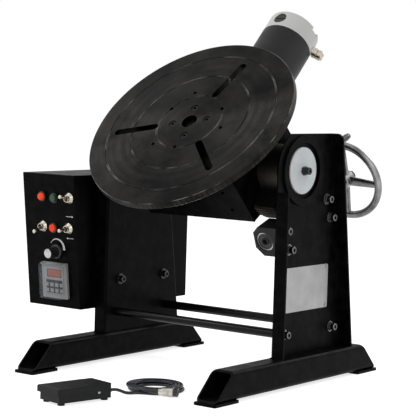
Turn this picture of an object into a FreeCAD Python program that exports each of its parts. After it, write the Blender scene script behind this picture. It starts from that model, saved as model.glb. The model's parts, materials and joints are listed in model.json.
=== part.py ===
"""Bench welding positioner with a hand-cranked tilt and a motor-driven faceplate.

X runs along the tilt axis (the control box is on the -X leg), -Y is the front,
+Z is up, and the origin is on the floor, midway between the four floor bolts.
Every length is in millimetres.
"""
import FreeCAD, Part
import math
import os
from FreeCAD import Vector

# ---------------------------------------------------------------- driving sizes
# feet
foot_length = 500.0          # along Y, at the floor
foot_width = 45.0
foot_height = 48.5
foot_wall = 3.5
foot_corner = 8.5            # outer bend radius of the tube
foot_centre_x = 202.0
pad_thickness = 5.0
pad_length = 68.0
pad_reach = 4.5              # ahead of the foot's end
floor_bolt_r = 5.5
floor_bolt_inset = 24.0      # from the foot's end

# legs
leg_inner_x = 189.0
leg_sheet = 4.0
leg_flange = 26.0
leg_front_y = -48.0
leg_rear_foot_y = 178.0
leg_rear_top_y = 124.0
leg_top_z = 443.0
leg_bend = 4.0
leg_corner = 12.0
front_flange_gap = 36.0      # flange stops this far below the tilt axis

# tilt axis
pivot_y = 28.0
pivot_z = 378.0
tilt_angle = 45.0            # faceplate from level, at rest

# trunnions and their bearings
shaft_r = 20.0
shaft_clearance = 0.05
bearing_r = 34.0
bearing_width = 15.0
bearing_recess = 4.5         # below the leg's outer face
shaft_proud = 0.5            # past the bearing
housing_r = 49.0
housing_lip = 2.0
boss_r = 62.0
boss_proud = 4.0
boss_inset = 4.0
end_disc_r = 41.5
end_disc_thickness = 5.5
end_disc_gap = 1.5           # radial, to the recess around it
spacer_length = 6.0
trunnion_screw_inset = 9.0
trunnion_flange_r = 38.0
trunnion_flange_thickness = 8.0
collar_r = 30.0
collar_width = 7.0

# tie rods
tie_rod_r = 8.0
tie_rod_z = 92.0
tie_rod_front_y = -17.0
tie_rod_rear_y = 133.0

# M8 socket screws
screw_r = 4.0
screw_head_r = 6.5
screw_head_height = 8.0
screw_socket_r = 3.4
screw_socket_depth = 4.5
small_screw_r = 3.0          # M6, inside the cradle
small_head_r = 5.0
small_head_height = 6.0
small_screw_grip = 16.0
washer_r = 10.0
washer_thickness = 2.0
lock_washer_r = 7.5
lock_washer_thickness = 3.0
leg_screw_depth = 18.0       # past the leg's web

# worm and toothed sector
module_mm = 2.5
sector_teeth_full = 68       # teeth that a whole wheel would have
worm_pitch_r = 15.0
pressure_angle = 20.0
backlash = 0.35              # taken off each flank
sector_width = 42.0
sector_hub_r = 45.0
sector_flat = 5.0            # the sector's flat lies this far below the axis
worm_x = 150.0
worm_length = 60.0
worm_shaft_r = 7.5
worm_phase = 90.0            # turns the thread into the sector's spaces at rest
facets_per_turn = 16
shaft_thread_length = 12.0   # past the handwheel's hub
drive_angle = 21.5           # worm axis rises towards the rear

# worm housing, measured along the worm axis from below the tilt axis
housing_front = -92.0
housing_rear = 68.0
housing_half_width = 21.0
housing_down = 27.0
housing_up = 28.0
housing_chamfer_high = 11.0
housing_chamfer_low = 15.0
worm_bearing_r = 17.5
worm_bearing_width = 11.0
worm_bore_clearance = 1.0
housing_bolt_front = -85.0
housing_bolt_rear = 54.0
housing_bolt_lift = 4.0      # above the worm's axis
housing_bolt_half = 18.0

# handwheel
handwheel_r = 78.0
rim_r = 7.0
handwheel_along = 186.0
hub_r = 15.0
hub_length = 28.0
spoke_count = 4
spoke_turn = -5.0
grip_angle = 95.0
grip_r = 6.5
grip_length = 34.0
grip_pin_r = 4.0

# cradle, in its own level frame: X along the tilt axis, Z towards the faceplate
cradle_half_width = 119.0
cradle_half_length = 92.0
cradle_low = -41.0
cradle_top = 89.0
cradle_sheet = 5.0
cradle_bend = 6.0
cheek_thickness = 12.0
cheek_low = -50.0
cradle_hole_x = 83.5
cradle_hole_low = -13.0
cradle_hole_high = 31.0
cradle_hole_r = 3.5

# faceplate
plate_r = 200.5
plate_thickness = 15.0
plate_top = 113.0            # from the tilt axis to the working face
plate_bore_r = 15.0
groove_radii = (65.0, 116.0, 167.0)
groove_width = 2.0
groove_depth = 1.2
slot_count = 3
slot_turn = 74.0
slot_inner = 65.0
slot_outer = 155.0
slot_width = 14.0
slot_wide = 24.0
slot_wide_depth = 7.0
hub_screw_circle = 35.0
hub_screw_count = 4
hub_screw_turn = 12.0
counterbore_r = 7.2
counterbore_depth = 9.0
tapped_r = 3.4
tapped_inner_circle = 64.0
tapped_inner_turn = 33.0
tapped_outer_circle = 76.5
tapped_outer_turn = -9.0

# spindle and gearbox
spindle_r = 17.5
spindle_flange_r = 50.0
spindle_flange_thickness = 8.0
spindle_bore_r = 8.0
spindle_bearing_r = 31.0
spindle_bearing_width = 14.0
gearbox_r = 56.0
gearbox_low = -16.0
gearbox_lug = 12.0           # thickness of its square top
gearbox_nose_r = 44.0
gearbox_screw_inset = 8.0
gearbox_nose_gap = 1.0       # below the spindle flange
tunnel_r = 34.0

# motor
motor_x = 23.0
motor_z = 30.0
motor_r = 50.5
motor_seam = 290.0           # from the tilt axis to the end cap's seam
motor_cap_length = 40.0
motor_cap_edge = 3.5
motor_boss_r = 17.0
notch_half = 10.0            # tie bolt notches at the cap's end
notch_depth = 9.0
notch_length = 8.0
brush_cap_r = 12.5
brush_cap_along = 310.0
brush_cap_depth = 6.0
gland_r = 10.5
gland_length = 26.0
gland_along = 304.0
gland_turn = -38.0

# control box
box_side_x = -215.0          # the side that bears on the leg's flanges
box_width = 128.0
box_bottom_z = 98.0
box_top_z = 350.0
box_front_low_y = -90.0
box_front_high_y = -117.0
box_rear_y = 232.0
box_wall = 2.0

box_cover_gap = 0.2
control_hole_r = 8.0
button_clearance = 0.08
lamp_place = (-295.5, 307.0)       # (x, z) on the panel
reset_place = (-265.5, 305.5)
lock_place = (-270.5, 249.0)
power_place = (-229.0, 307.0)
mode_place = (-298.0, 250.0)
direction_place = (-234.0, 250.0)
knob_place = (-265.0, 205.0)
power_lean = 14.0                  # levers, from straight out, up is positive
mode_lean = -14.0
direction_lean = 0.0
lever_length = 27.0
lever_r = 2.2
lever_ball_r = 3.9
toggle_base_r = 10.5
toggle_sleeve_r = 6.2
toggle_sleeve_height = 9.0
socket_x = -250.0
inlet_x = -300.0
rear_socket_z = 140.0
knob_r = 10.0
knob_skirt_r = 14.0
knob_height = 26.0
meter_x = -271.0
meter_z = 149.5
meter_width = 62.0
meter_height = 68.0
meter_inset = 8.0            # from the bezel's edge to the case
bezel_height = 5.0
cover_height = 16.0
cover_wall = 1.8
meter_face_height = 6.0

# rating plate
rating_y = 51.5
rating_z = 168.5
rating_width = 137.0
rating_height = 79.0
rating_thickness = 1.0

# foot pedal
pedal_x = 22.0
pedal_y = -366.0
pedal_turn = -11.5
pedal_half_width = 27.5
pedal_half_length = 53.0
pedal_foot_height = 4.0
pedal_wall = 2.5
pedal_height = 28.0
lid_skirt_z = 17.0           # lower edge of the treadle's skirt
lid_wall = 2.0
lid_gap = 0.7                # between the skirt and the base
lid_front = 2.5              # the same, at the front
base_rim_z = 20.5            # top of the base, inside the lid
pedal_pin_y = 27.0
pedal_pin_z = 15.0
pedal_pin_r = 2.5
lid_ear_r = 4.5
lid_ear_width = 3.0
cord_r = 2.75
gland_reach = 10.0
cord_exit_x = 12.0
cord_exit_z = 13.0
coil_x = 57.0
coil_y = -200.0
coil_outer_r = 53.0
coil_inner_r = 26.0
coil_height = 12.0
plug_x = 96.7
plug_y = -240.6
plug_turn = 25.0
plug_r = 8.5

# pedal cord, from past its gland to the edge of the coil
cord_route = [(49.0, -283.0, 3.5), (40.0, -270.0, 3.0), (38.0, -256.0, 3.0),
              (49.0, -249.5, 3.0)]

os.makedirs("parts", exist_ok=True)

# ---------------------------------------------------------------- derived sizes
foot_top_z = pad_thickness + foot_height
leg_outer_x = leg_inner_x + leg_sheet
flange_x = leg_inner_x + leg_flange
gear_pitch_r = module_mm * sector_teeth_full / 2
gear_tip_r = gear_pitch_r + module_mm
gear_root_r = gear_pitch_r - 1.25 * module_mm
worm_below = gear_pitch_r + worm_pitch_r
worm_tip_r = worm_pitch_r + module_mm
worm_root_r = worm_pitch_r - 1.25 * module_mm
worm_lead = math.pi * module_mm
lead_angle = math.degrees(math.atan(worm_lead / (2 * math.pi * worm_pitch_r)))
plate_under = plate_top - plate_thickness
flange_under = plate_under - spindle_flange_thickness
bearing_outer_x = leg_outer_x - bearing_recess
bearing_inner_x = bearing_outer_x - bearing_width
shaft_end_x = bearing_outer_x + shaft_proud
motor_foot = cradle_half_length
panel_lean = math.degrees(math.atan((box_front_low_y - box_front_high_y)
                                    / (box_top_z - box_bottom_z)))


# ---------------------------------------------------------------- shape helpers
def box(x0, x1, y0, y1, z0, z1):
    """Box between two corners, given in any order."""
    low = Vector(min(x0, x1), min(y0, y1), min(z0, z1))
    return Part.makeBox(abs(x1 - x0), abs(y1 - y0), abs(z1 - z0), low)


def rod(start, direction, radius, length):
    return Part.makeCylinder(radius, length, Vector(*start), Vector(*direction))


def rod_x(x0, x1, radius, y=0.0, z=0.0):
    return rod((min(x0, x1), y, z), (1, 0, 0), radius, abs(x1 - x0))


def rod_y(y0, y1, radius, x=0.0, z=0.0):
    return rod((x, min(y0, y1), z), (0, 1, 0), radius, abs(y1 - y0))


def rod_z(z0, z1, radius, x=0.0, y=0.0):
    return rod((x, y, min(z0, z1)), (0, 0, 1), radius, abs(z1 - z0))


def ring_z(z0, z1, outer, inner, x=0.0, y=0.0):
    return rod_z(z0, z1, outer, x, y).cut(rod_z(z0, z1, inner, x, y))


def ring_x(x0, x1, outer, inner, y=0.0, z=0.0):
    return rod_x(x0, x1, outer, y, z).cut(rod_x(x0, x1, inner, y, z))


def ring_y(y0, y1, outer, inner, x=0.0, z=0.0):
    return rod_y(y0, y1, outer, x, z).cut(rod_y(y0, y1, inner, x, z))


def prism_x(points, x0, x1):
    """Polygon of (y, z) points, extruded along X."""
    corners = [Vector(min(x0, x1), y, z) for y, z in points]
    face = Part.Face(Part.makePolygon(corners + corners[:1]))
    return face.extrude(Vector(abs(x1 - x0), 0, 0))


def prism_y(points, y0, y1):
    """Polygon of (x, z) points, extruded along Y."""
    corners = [Vector(x, min(y0, y1), z) for x, z in points]
    face = Part.Face(Part.makePolygon(corners + corners[:1]))
    return face.extrude(Vector(0, abs(y1 - y0), 0))


def turned(profile):
    """Solid of revolution about Z from (radius, z) points."""
    corners = [Vector(r, 0, z) for r, z in profile]
    face = Part.Face(Part.makePolygon(corners + corners[:1]))
    return face.revolve(Vector(0, 0, 0), Vector(0, 0, 1), 360)


def fuse(shapes):
    body = shapes[0]
    for shape in shapes[1:]:
        body = body.fuse(shape)
    return body.removeSplitter()


def mirrored(shape):
    return shape.mirror(Vector(0, 0, 0), Vector(1, 0, 0))


def moved(shape, x=0.0, y=0.0, z=0.0):
    copy = shape.copy()
    copy.translate(Vector(x, y, z))
    return copy


def spun(shape, angle, axis=(0, 0, 1), centre=(0, 0, 0)):
    copy = shape.copy()
    copy.rotate(Vector(*centre), Vector(*axis), angle)
    return copy


def polar(radius, angle):
    return radius * math.cos(math.radians(angle)), radius * math.sin(math.radians(angle))


def in_cradle(shape):
    """From the cradle's level frame to its rest tilt."""
    return moved(spun(shape, tilt_angle, (1, 0, 0)), 0, pivot_y, pivot_z)


def in_drive(shape):
    """From the worm's frame (Y along the worm) to its place."""
    return moved(spun(shape, drive_angle, (1, 0, 0)), 0, pivot_y, pivot_z)


def on_panel(shape, x, z):
    """Stand a shape, modelled along +Z, on the control panel at (x, height z)."""
    y = box_front_low_y - (z - box_bottom_z) * math.tan(math.radians(panel_lean))
    return moved(spun(shape, 90 + panel_lean, (1, 0, 0)), x, y, z)


def in_pedal(shape):
    return moved(spun(shape, pedal_turn), pedal_x, pedal_y, 0)


def save(name, shapes):
    """One node, as one STEP file of one or more separate solids."""
    solids = [solid for shape in shapes for solid in shape.Solids]
    Part.makeCompound(solids).exportStep("parts/" + name + ".step")


def hex_prism(across, z0, z1, socket_r=0.0):
    corners = [polar(across / math.sqrt(3), 60 * i) for i in range(6)]
    points = [Vector(x, y, z0) for x, y in corners]
    body = Part.Face(Part.makePolygon(points + points[:1])).extrude(Vector(0, 0, z1 - z0))
    return body.cut(rod_z(z0, z1, socket_r)) if socket_r else body


def socket_screw(grip, radius=screw_r, head_r=screw_head_r, head=screw_head_height):
    """Socket screw along Z: the head stands on z = 0 and the shank goes down."""
    scale = head_r / screw_head_r
    body = turned([(0, 0), (head_r, 0), (head_r, head - 0.6), (head_r - 0.6, head), (0, head)])
    body = body.fuse(rod_z(-grip, 0, radius))
    depth = screw_socket_depth * scale
    return body.cut(hex_prism(screw_socket_r * scale * math.sqrt(3), head - depth, head + 1))


def leg_screw(y, z):
    """Screw, lock washer and flat washer on the outside of the right leg."""
    flat = ring_z(0, washer_thickness, washer_r, screw_r)
    lock = ring_z(0, lock_washer_thickness, lock_washer_r, screw_r)
    stack = washer_thickness + lock_washer_thickness
    screw = socket_screw(stack + leg_sheet + leg_screw_depth)
    parts = [flat, moved(lock, 0, 0, washer_thickness), moved(screw, 0, 0, stack)]
    return [moved(spun(part, 90, (0, 1, 0)), leg_outer_x, y, z) for part in parts]


# ---------------------------------------------------------------- feet
def foot_tube():
    """Rectangular tube with rounded bends, both ends mitred at 45 degrees."""
    half = foot_width / 2
    outer = box(-half, half, -foot_length / 2, foot_length / 2, pad_thickness, foot_top_z)
    outer = outer.makeFillet(foot_corner, [e for e in outer.Edges if e.BoundBox.YLength > 1])
    inner = box(-half + foot_wall, half - foot_wall, -foot_length, foot_length,
                pad_thickness + foot_wall, foot_top_z - foot_wall)
    inner = inner.makeFillet(foot_corner - foot_wall,
                             [e for e in inner.Edges if e.BoundBox.YLength > 1])
    tube = outer.cut(inner)
    for side in (-1, 1):
        end = side * foot_length / 2
        wedge = prism_x([(end, pad_thickness), (end, foot_top_z + 1),
                         (end - side * (foot_height + 1), foot_top_z + 1)],
                        -foot_width, foot_width)
        bolt_y = end - side * floor_bolt_inset
        tube = tube.cut(wedge).cut(rod_z(0, foot_height / 2, floor_bolt_r, 0, bolt_y))
    return tube


def foot_pads():
    """Flat pads under both ends of one foot, drilled for the floor bolts."""
    pads = []
    for side in (-1, 1):
        end = side * foot_length / 2
        tip = end + side * pad_reach
        plate = box(-foot_width / 2, foot_width / 2, tip, tip - side * pad_length, 0,
                    pad_thickness)
        plate = plate.makeFillet(3, [e for e in plate.Edges if e.BoundBox.ZLength > 1])
        bolt_y = end - side * floor_bolt_inset
        pads.append(plate.cut(rod_z(-1, pad_thickness + 1, floor_bolt_r, 0, bolt_y)))
    return pads


def make_feet():
    save("feet", [moved(foot_tube(), side * foot_centre_x) for side in (-1, 1)])
    pads = foot_pads()
    save("foot_pads", [moved(pad, side * foot_centre_x) for side in (-1, 1) for pad in pads])


# ---------------------------------------------------------------- legs
def leg_outline(inset=0.0, low=foot_top_z):
    """Leg seen from the side: upright front, round shoulder, sloping rear."""
    radius = pivot_y - leg_front_y - inset
    rise = leg_top_z - pivot_z
    shoulder_y = pivot_y - math.sqrt(radius ** 2 - rise ** 2)
    slope = (leg_rear_foot_y - leg_rear_top_y) / (leg_top_z - foot_top_z)
    front = leg_front_y + inset
    low_y = leg_rear_foot_y - inset - slope * (low - foot_top_z)
    top_y = leg_rear_top_y - inset
    middle = math.radians(180 - math.degrees(math.asin(rise / radius)) / 2)
    points = [Vector(0, front, low), Vector(0, front, pivot_z),
              Vector(0, pivot_y + radius * math.cos(middle),
                     pivot_z + radius * math.sin(middle)),
              Vector(0, shoulder_y, leg_top_z), Vector(0, top_y, leg_top_z),
              Vector(0, low_y, low)]
    edges = [Part.makeLine(points[0], points[1]),
             Part.Arc(points[1], points[2], points[3]).toShape(),
             Part.makeLine(points[3], points[4]), Part.makeLine(points[4], points[5]),
             Part.makeLine(points[5], points[0])]
    return Part.Face(Part.Wire(edges))


def right_leg():
    """Folded channel: web inside, front and rear flanges turned outwards."""
    face = leg_outline()
    face.translate(Vector(leg_inner_x, 0, 0))
    body = face.extrude(Vector(leg_flange, 0, 0))
    bends = [e for e in body.Edges
             if abs(e.BoundBox.XMax - leg_inner_x) < 0.01 and e.BoundBox.ZLength > 150]
    body = body.makeFillet(leg_bend, bends)
    inside = leg_outline(leg_sheet, foot_top_z - 20)
    inside.translate(Vector(leg_outer_x, 0, 0))
    body = body.cut(inside.extrude(Vector(leg_flange, 0, 0)))
    shoulder = box(leg_outer_x, flange_x + 1, leg_front_y - 1, leg_rear_top_y - leg_sheet - 2,
                   pivot_z - front_flange_gap, leg_top_z + 1)
    body = body.cut(shoulder)
    near = leg_rear_top_y - leg_flange
    far = leg_rear_top_y + leg_flange
    corner_x = flange_x - leg_corner
    corner_z = leg_top_z - leg_corner
    corner = box(corner_x, flange_x + 1, near, far, corner_z, leg_top_z + 1)
    body = body.cut(corner.cut(rod_y(near, far, leg_corner, corner_x, corner_z)))
    body = body.cut(rod_x(0, flange_x, boss_r, pivot_y, pivot_z))
    for y in (tie_rod_front_y, tie_rod_rear_y):
        body = body.cut(rod_x(0, flange_x, screw_r, y, tie_rod_z))
    return body


def housing_bolt_places():
    """(along, across) of the worm housing's bolts, in the worm's frame."""
    return [(along, housing_bolt_lift - worm_below + side * housing_bolt_half)
            for along in (housing_bolt_front, housing_bolt_rear) for side in (-1, 1)]


def from_drive(along, across):
    """(y, z) of a point given along and across the worm."""
    turn = math.radians(drive_angle)
    return (pivot_y + along * math.cos(turn) - across * math.sin(turn),
            pivot_z + along * math.sin(turn) + across * math.cos(turn))


def box_bolt_places():
    """(y, z) of the two bolts that hold the control box to the left leg."""
    return [(-7.0, 153.0), (124.0, 153.0)]


def make_legs():
    right = right_leg()
    left = mirrored(right)
    for along, across in housing_bolt_places():
        y, z = from_drive(along, across)
        right = right.cut(rod_x(0, flange_x, screw_r, y, z))
    for y, z in box_bolt_places():
        left = left.cut(rod_x(0, -flange_x, screw_r, y, z))
    save("legs", [left, right])

    boss = ring_x(leg_inner_x - boss_inset, leg_outer_x + boss_proud, boss_r, housing_r,
                  pivot_y, pivot_z)
    save("leg_bosses", [boss, mirrored(boss)])

    recess_r = end_disc_r + end_disc_gap
    inner_x = bearing_inner_x - housing_lip
    housing = rod_x(inner_x, leg_outer_x, housing_r, pivot_y, pivot_z)
    housing = housing.cut(rod_x(bearing_inner_x, flange_x, bearing_r, pivot_y, pivot_z))
    housing = housing.cut(rod_x(inner_x, flange_x, shaft_r + 3, pivot_y, pivot_z))
    housing = housing.cut(rod_x(bearing_outer_x, flange_x, recess_r, pivot_y, pivot_z))
    save("bearing_housings", [housing, mirrored(housing)])

    bearing = ring_x(bearing_inner_x, bearing_outer_x, bearing_r, shaft_r + shaft_clearance,
                     pivot_y, pivot_z)
    save("trunnion_bearings", [bearing, mirrored(bearing)])


def make_tie_rods():
    rods = []
    for y in (tie_rod_front_y, tie_rod_rear_y):
        bar = rod_x(-leg_inner_x, leg_inner_x, tie_rod_r, y, tie_rod_z)
        tapped = rod_x(leg_inner_x - leg_screw_depth - 2, leg_inner_x + 1, screw_r, y,
                       tie_rod_z)
        rods.append(bar.cut(tapped).cut(mirrored(tapped)))
    save("tie_rods", rods)


def make_leg_screws():
    """M8 screws that hold the tie rods and the worm housing to the legs."""
    stacks = []
    for y in (tie_rod_front_y, tie_rod_rear_y):
        stack = leg_screw(y, tie_rod_z)
        stacks += stack + [mirrored(part) for part in stack]
    for along, across in housing_bolt_places():
        stacks += leg_screw(*from_drive(along, across))
    save("leg_screws", stacks)


def make_rating_plate():
    half_w = rating_width / 2
    half_h = rating_height / 2
    plate = box(leg_outer_x, leg_outer_x + rating_thickness, rating_y - half_w,
                rating_y + half_w, rating_z - half_h, rating_z + half_h)
    plate = plate.makeFillet(4, [e for e in plate.Edges
                                 if e.BoundBox.XLength > rating_thickness / 2
                                 and e.BoundBox.YLength < 0.1])
    rivets = []
    for side in (-1, 1):
        for rise in (-1, 1):
            y = rating_y + side * (half_w - 5)
            z = rating_z + rise * (half_h - 5)
            plate = plate.cut(rod_x(leg_outer_x - 1, leg_outer_x + 3, 1.6, y, z))
            shank = rod_x(leg_outer_x, leg_outer_x + rating_thickness, 1.6, y, z)
            head = rod_x(leg_outer_x + rating_thickness, leg_outer_x + rating_thickness + 1,
                         2.8, y, z)
            rivets.append(shank.fuse(head))
    save("rating_plate", [plate])
    save("rating_plate_rivets", rivets)


# ---------------------------------------------------------------- tilt drive
def make_worm_housing():
    left = worm_x - housing_half_width
    low = -worm_below - housing_down
    high = -worm_below + housing_up
    casting = prism_y([(left, low + housing_chamfer_low), (left + housing_chamfer_low, low),
                       (leg_inner_x, low), (leg_inner_x, high),
                       (left + housing_chamfer_high, high),
                       (left, high - housing_chamfer_high)], housing_front, housing_rear)
    bore_r = worm_tip_r + worm_bore_clearance
    casting = casting.cut(rod_y(housing_front - 1, housing_rear + 1, worm_bearing_r,
                                worm_x, -worm_below))
    seat = worm_bearing_width + 5
    casting = casting.cut(rod_y(housing_front + seat, housing_rear - seat, bore_r,
                                worm_x, -worm_below))
    reach = math.sqrt(gear_tip_r ** 2 - (worm_below - housing_up) ** 2) + 3
    window = box(worm_x - housing_half_width - 1, worm_x + sector_width / 2 + 1.5,
                 -reach, reach, -worm_below, high + 1)
    casting = casting.cut(window)
    for along, across in housing_bolt_places():
        tapped = rod_x(leg_inner_x - leg_screw_depth - 4, leg_inner_x + 1, screw_r, along,
                       across)
        casting = casting.cut(tapped)
    save("worm_housing", [in_drive(casting)])

    bearings = []
    for start in (housing_front + 3, housing_rear - 3 - worm_bearing_width):
        race = ring_y(start, start + worm_bearing_width, worm_bearing_r,
                      worm_shaft_r + shaft_clearance, worm_x, -worm_below)
        for face in (start, start + worm_bearing_width - 0.8):
            race = race.cut(ring_y(face, face + 0.8, worm_bearing_r - 3, worm_shaft_r + 3,
                                   worm_x, -worm_below))
        bearings.append(in_drive(race))
    save("worm_bearings", bearings)


def tooth_space():
    """Cutter for one space of the sector, along X, at the bottom of the wheel."""
    lean = math.tan(math.radians(pressure_angle))
    half = math.pi * module_mm / 4 + backlash
    above = module_mm + 1.0
    below = 1.25 * module_mm
    length = sector_width + 20
    points = [(-half - above * lean, -gear_pitch_r - above),
              (half + above * lean, -gear_pitch_r - above),
              (half - below * lean, -gear_pitch_r + below),
              (-half + below * lean, -gear_pitch_r + below)]
    cutter = prism_x(points, -length / 2, length / 2)
    return spun(cutter, lead_angle, (0, 0, 1))


def make_sector():
    """Half worm wheel keyed under the right trunnion's hub."""
    blank = rod_x(-sector_width / 2, sector_width / 2, gear_tip_r)
    upper = box(-sector_width, sector_width, -gear_tip_r - 1, gear_tip_r + 1, -sector_flat,
                gear_tip_r + 1)
    blank = blank.cut(upper)
    pitch = 360 / sector_teeth_full
    reach = int(sector_teeth_full / 4) - 2
    cutters = [spun(tooth_space(), pitch * (i + 0.5), (1, 0, 0))
               for i in range(-reach, reach)]
    turn = drive_angle - tilt_angle
    cutters = [spun(cutter, turn, (1, 0, 0)) for cutter in cutters]
    half_wheel = blank.cut(Part.makeCompound(cutters))
    half_wheel = half_wheel.cut(rod_x(-sector_width, sector_width, sector_hub_r))
    save("worm_sector", [in_cradle(moved(half_wheel, worm_x))])

    hub_x = cradle_half_width + collar_width
    hub = ring_x(hub_x, worm_x + sector_width / 2, sector_hub_r, shaft_r)
    save("sector_hub", [in_cradle(hub)])


def worm_thread():
    """Thread of the worm about Z, as flat facets between sections of one helix."""
    lean = math.tan(math.radians(pressure_angle))
    half = math.pi * module_mm / 4 - backlash
    foot = worm_root_r - 0.6
    root_half = half + (worm_pitch_r - foot) * lean
    tip_half = half - module_mm * lean
    corners = [(foot, -root_half), (worm_tip_r, -tip_half),
               (worm_tip_r, tip_half), (foot, root_half)]
    count = int(worm_length / worm_lead * facets_per_turn)
    sections = []
    for step in range(count + 1):
        turn = (step - count / 2) / facets_per_turn
        points = []
        for radius, rise in corners:
            x, y = polar(radius, 360 * turn)
            points.append(Vector(x, y, worm_lead * turn + rise))
        sections.append(points)
    faces = [Part.Face(Part.makePolygon(end + end[:1])) for end in (sections[0], sections[-1])]
    for near, far in zip(sections, sections[1:]):
        for i in range(4):
            j = (i + 1) % 4
            faces.append(Part.Face(Part.makePolygon([near[i], near[j], far[j], near[i]])))
            faces.append(Part.Face(Part.makePolygon([near[i], far[j], far[i], near[i]])))
    return Part.Solid(Part.Shell(faces))


def make_worm():
    """Single-start worm cut on the handwheel's shaft."""
    end = handwheel_along + hub_length / 2 + shaft_thread_length
    shaft = rod_y(housing_front + 1, end, worm_shaft_r)
    seat = worm_bearing_width + 4
    core = rod_y(housing_front + seat, housing_rear - seat, worm_shaft_r + 2)
    blank = rod_y(-worm_length / 2 - 4, worm_length / 2 + 4, worm_root_r)
    thread = spun(spun(worm_thread(), worm_phase), -90, (1, 0, 0))
    body = shaft.fuse(core).fuse(blank).fuse(thread)
    save("worm_shaft", [in_drive(moved(body, worm_x, 0, -worm_below))])


def wheel_place(shape):
    """From the handwheel's own frame (Y along its shaft) to its place."""
    return in_drive(moved(shape, worm_x, handwheel_along, -worm_below))


def make_handwheel():
    centre_r = handwheel_r - rim_r
    wheel = Part.makeTorus(centre_r, rim_r, Vector(0, 0, 0), Vector(0, 1, 0))
    hub = rod_y(-hub_length / 2, hub_length / 2, hub_r)
    hub = hub.makeChamfer(1.5, [e for e in hub.Edges if e.BoundBox.YLength < 0.1])
    wheel = wheel.fuse(hub)
    for i in range(spoke_count):
        angle = spoke_turn + 360 * i / spoke_count
        ends = []
        for radius, wide, thick in ((hub_r - 4, 9.5, 4.5), (centre_r, 6.5, 3.8)):
            oval = Part.Ellipse(Vector(0, 0, 0), wide, thick).toShape()
            oval.rotate(Vector(0, 0, 0), Vector(0, 1, 0), 90)
            ends.append(Part.Wire([moved(oval, radius)]))
        spoke = Part.makeLoft(ends, True)
        wheel = wheel.fuse(spun(spoke, -angle, (0, 1, 0)))
    x, z = polar(centre_r, grip_angle)
    wheel = wheel.cut(rod_y(-rim_r - 1, rim_r + 1, grip_pin_r, x, z))
    wheel = wheel.cut(rod_y(-hub_length, hub_length, worm_shaft_r))
    save("handwheel", [wheel_place(wheel)])

    nut = spun(hex_prism(19, 0, 8, worm_shaft_r), -90, (1, 0, 0))
    save("handwheel_nut", [wheel_place(moved(nut, 0, hub_length / 2, 0))])

    grip_start = rim_r + 1
    grip_end = grip_start + grip_length
    pin = rod_y(-rim_r, grip_end + 0.5, grip_pin_r, x, z)
    head = rod_y(grip_end + 0.5, grip_end + 3, grip_r - 1, x, z)
    collar = rod_y(rim_r, grip_start - 0.3, grip_r - 1, x, z)
    save("grip_pin", [wheel_place(pin.fuse(head).fuse(collar))])

    bulge = [(grip_pin_r + shaft_clearance, 0), (grip_r - 1, 0), (grip_r, 4),
             (grip_r, grip_length - 4), (grip_r - 1, grip_length),
             (grip_pin_r + shaft_clearance, grip_length)]
    grip = spun(turned(bulge), -90, (1, 0, 0))
    save("handwheel_grip", [wheel_place(moved(grip, x, grip_start, z))])


# ---------------------------------------------------------------- cradle
def trunnion_screw_places():
    """(y, z) in the cradle's frame."""
    return [polar(trunnion_flange_r - trunnion_screw_inset, 45 + 90 * i) for i in range(4)]


def gearbox_screw_places():
    """(x, y) in the cradle's frame."""
    half = gearbox_r - gearbox_screw_inset
    return [(x * half, y * half) for x in (-1, 1) for y in (-1, 1)]


def make_cradle_screws():
    """M6 screws that hold the trunnions to the cheeks and the gearbox to the roof."""
    screw = socket_screw(small_screw_grip, small_screw_r, small_head_r, small_head_height)
    screws = []
    outward = spun(screw, -90, (0, 1, 0))
    start = cradle_half_width - cheek_thickness - trunnion_flange_thickness
    for y, z in trunnion_screw_places():
        placed = moved(outward, start, y, z)
        screws += [placed, mirrored(placed)]
    upward = spun(screw, 180, (1, 0, 0))
    for x, y in gearbox_screw_places():
        screws.append(moved(upward, x, y, cradle_top - cradle_sheet - gearbox_lug))
    save("cradle_screws", [in_cradle(screw) for screw in screws])


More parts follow.
